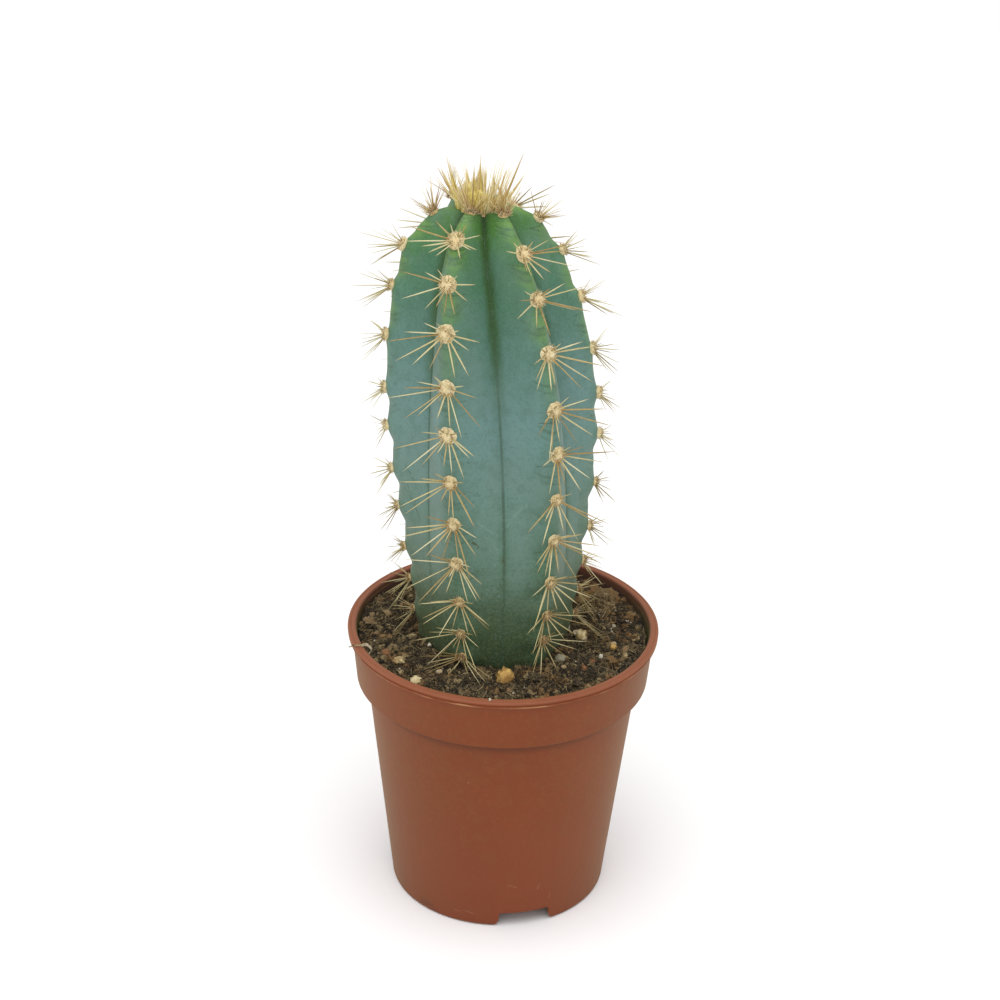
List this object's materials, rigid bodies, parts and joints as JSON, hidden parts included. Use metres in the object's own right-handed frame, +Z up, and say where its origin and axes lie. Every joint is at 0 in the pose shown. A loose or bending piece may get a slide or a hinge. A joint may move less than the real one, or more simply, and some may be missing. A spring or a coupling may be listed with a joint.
{
  "type": "potted columnar cactus",
  "caption": "Blue ribbed columnar cactus with golden spines and a spiny crown, standing in a tapered plastic nursery pot of peaty soil with scattered grit.",
  "frame": {"origin": "centre of the pot's foot ring, on the plane that the pot stands on", "axes": "+Z up along the pot's axis and the stem, front of the plant towards -Y, +X to the right seen from the front"},
  "size_m": [0.085, 0.085, 0.2115],
  "materials": {
    "pot_plastic": "smooth moulded, satin",
    "potting_mix": "rough, crumbly and dry on top",
    "stem_skin": "waxy with a blue bloom",
    "spines": "dry, slightly glossy",
    "areole_felt": "short dense felt",
    "grit": "dusty, matt"
  },
  "bodies": {
    "root": {"pot": "pot_plastic", "soil": "potting_mix", "cactus_stem": "stem_skin", "crown_tuft": "spines", "grit_1": "grit", "grit_2": "grit", "grit_3": "grit", "grit_4": "grit", "grit_5": "grit", "grit_6": "grit", "grit_7": "grit", "grit_8": "grit", "grit_9": "grit"}
  },
  "joints": []
}
